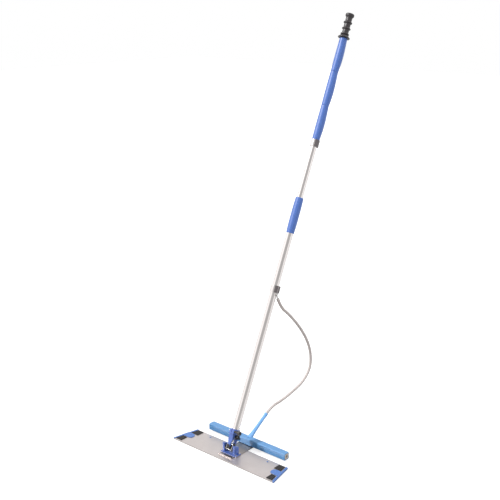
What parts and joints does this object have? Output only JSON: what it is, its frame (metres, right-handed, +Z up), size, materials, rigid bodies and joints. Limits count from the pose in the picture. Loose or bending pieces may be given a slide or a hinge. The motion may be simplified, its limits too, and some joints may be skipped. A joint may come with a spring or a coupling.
{
  "type": "flat mop",
  "caption": "Flat pad holder on a two-way swivel joint with a leaning telescopic pole, pump handle, side hose and a spray bar behind the plate.",
  "frame": {"origin": "on the floor under the middle of the pad holder, in the plane of its hook strips", "axes": "+X to the right along the plate, +Y back towards the spray bar, +Z up"},
  "size_m": [0.457, 0.6907, 1.4458],
  "materials": {
    "pad_aluminium": "brushed, clear anodised",
    "hook_nylon": "hook tape",
    "sky_plastic": "moulded",
    "grip_rubber": "ribbed rubber",
    "zinc_steel": "bright zinc plated",
    "bracket_steel": "stainless sheet",
    "sky_paint": "gloss powder coat",
    "lavender_nylon": "moulded",
    "black_nylon": "moulded",
    "polished_tube": "polished",
    "dark_nylon": "moulded",
    "blue_grip": "satin soft grip",
    "hose_vinyl": "reinforced vinyl",
    "seal_rubber": "nitrile"
  },
  "bodies": {
    "pad_holder": {"sole_plate": "pad_aluminium", "hook_strip_front": "hook_nylon", "hook_strip_middle": "hook_nylon", "hook_strip_back": "hook_nylon", "end_cap_left": "sky_plastic", "end_cap_right": "sky_plastic", "grip_patch_front_left": "grip_rubber", "grip_patch_front_right": "grip_rubber", "grip_patch_back_left": "grip_rubber", "grip_patch_back_right": "grip_rubber", "strip_rivets": "sky_plastic", "feed_bracket": "bracket_steel", "feed_bar": "sky_paint", "bar_plug_left": "hose_vinyl", "bar_plug_right": "hose_vinyl", "bar_screws": "zinc_steel", "feed_stem": "sky_paint", "stem_barb": "zinc_steel", "joint_base": "lavender_nylon", "base_screws": "zinc_steel", "pitch_pins": "lavender_nylon", "feed_hose_upper": "hose_vinyl", "feed_hose_lower": "hose_vinyl"},
    "cross_link": {"cross_block": "black_nylon", "roll_pin": "black_nylon", "roll_clip": "zinc_steel"},
    "bail": {"lock_bail": "zinc_steel"},
    "lower_pole": {"fork": "lavender_nylon", "clamp_bolt": "zinc_steel", "lower_tube": "polished_tube", "tube_plug": "black_nylon", "button_spring": "zinc_steel", "outlet_ring": "polished_tube", "outlet_block": "dark_nylon", "outlet_grub_screws": "zinc_steel", "outlet_fitting": "zinc_steel", "hose_nozzle": "zinc_steel", "mid_grip": "blue_grip", "tube_gland": "black_nylon"},
    "tube_clamp_knob": {"clamp_knob": "black_nylon"},
    "brake_lever": {"lock_lever": "black_nylon"},
    "brake_pin": {"brake_plunger": "zinc_steel"},
    "button": {"snap_button": "zinc_steel"},
    "upper_pole": {"upper_tube": "polished_tube", "expander_bush": "black_nylon", "expander_core": "black_nylon", "grip_ring": "polished_tube", "grip_ring_block": "dark_nylon", "grip_ring_grub_screws": "zinc_steel", "grip_sleeve_1": "blue_grip", "grip_sleeve_2": "blue_grip", "grip_sleeve_3": "blue_grip", "top_bush": "black_nylon"},
    "pump": {"pump_knob": "black_nylon", "pump_rod": "zinc_steel", "piston": "black_nylon", "piston_seal": "seal_rubber"}
  },
  "joints": [
    {"name": "pole_pitch", "type": "hinge", "parent": "pad_holder", "child": "cross_link", "pos_m": [0, -0.00174, 0.02559], "axis": [1, 0, 0], "range_deg": [-30, 78], "deforming": ["feed_hose_upper"]},
    {"name": "pole_roll", "type": "hinge", "parent": "cross_link", "child": "lower_pole", "pos_m": [0, 0.002, 0.034], "axis": [0, -0.9135, 0.4067], "range_deg": [-28, 28], "deforming": ["feed_hose_upper"]},
    {"name": "bail_swing", "type": "hinge", "parent": "cross_link", "child": "bail", "pos_m": [0, -0.00398, 0.04269], "axis": [1, 0, 0], "range_deg": [-40, 0]},
    {"name": "clamp_knob_turn", "type": "hinge", "parent": "lower_pole", "child": "tube_clamp_knob", "pos_m": [0, 0.00792, 0.08664], "axis": [1, 0, 0], "range_deg": [0, 1080]},
    {"name": "brake_lever_turn", "type": "hinge", "parent": "lower_pole", "child": "brake_lever", "pos_m": [0, 0.01583, 0.06506], "axis": [-1, 0, 0], "range_deg": [0, 90]},
    {"name": "brake_pin_slide", "type": "slide", "parent": "lower_pole", "child": "brake_pin", "axis": [0, -0.4067, -0.9135], "range_m": [0, 0.0028]},
    {"name": "button_press", "type": "slide", "parent": "lower_pole", "child": "button", "axis": [-1, 0, 0], "range_m": [0, 0.003], "stiffness_N_per_m": 400, "springref_m": -0.004, "deforming": ["button_spring"]},
    {"name": "pole_length", "type": "slide", "parent": "lower_pole", "child": "upper_pole", "axis": [0, 0.4067, 0.9135], "range_m": [-0.18, 0.15]},
    {"name": "pump_stroke", "type": "slide", "parent": "upper_pole", "child": "pump", "axis": [0, 0.4067, 0.9135], "range_m": [0, 0.1]}
  ],
  "couplings": [
    {"joint": "brake_pin_slide", "follows": "brake_lever_turn", "m_per_rad": 0.0017825}
  ]
}
